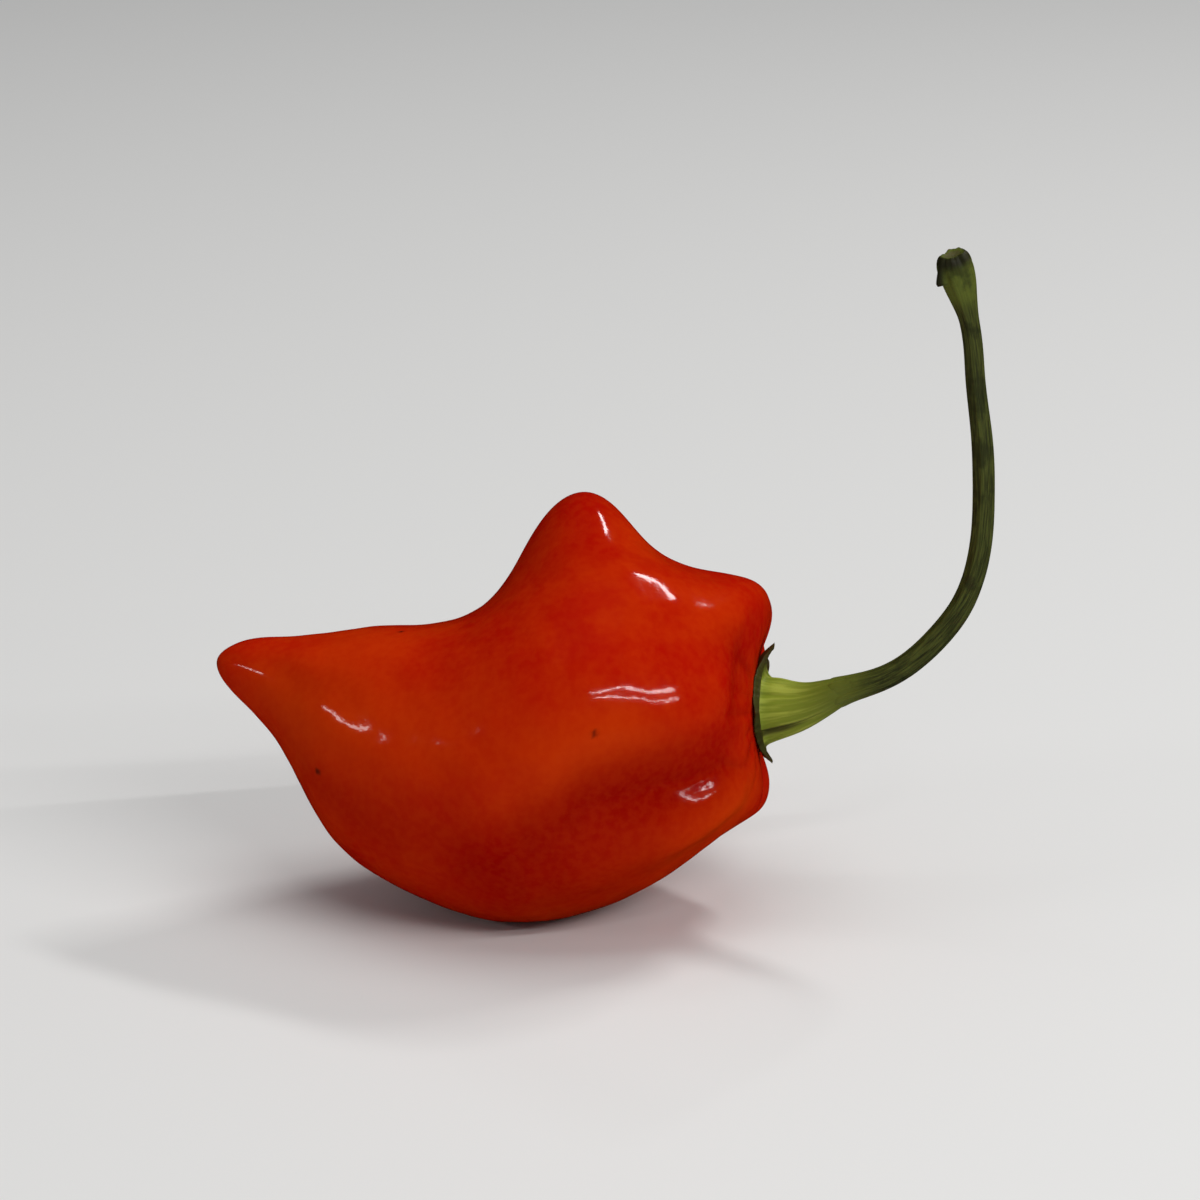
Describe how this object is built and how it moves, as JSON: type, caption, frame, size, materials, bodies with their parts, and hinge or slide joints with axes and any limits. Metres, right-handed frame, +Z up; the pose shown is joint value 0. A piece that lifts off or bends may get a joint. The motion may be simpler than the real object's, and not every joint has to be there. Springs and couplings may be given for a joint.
{
  "type": "habanero pepper",
  "caption": "Ripe orange-red habanero pepper lying on its side: a lobed, creased pod with a toothed green calyx and a long curved stem.",
  "frame": {"origin": "middle of the small flat spot on the pod's lowest lobe that the pepper rests on", "axes": "+X from the pod's tip towards its stem end, +Z up, -Y the side seen in the picture"},
  "size_m": [0.0674, 0.035, 0.0599],
  "materials": {
    "pod_skin": "waxy gloss",
    "calyx_green": "satin, fibrous",
    "stem_green": "satin, fibrous"
  },
  "bodies": {
    "root": {"pod": "pod_skin", "calyx": "calyx_green", "stem": "stem_green"}
  },
  "joints": []
}
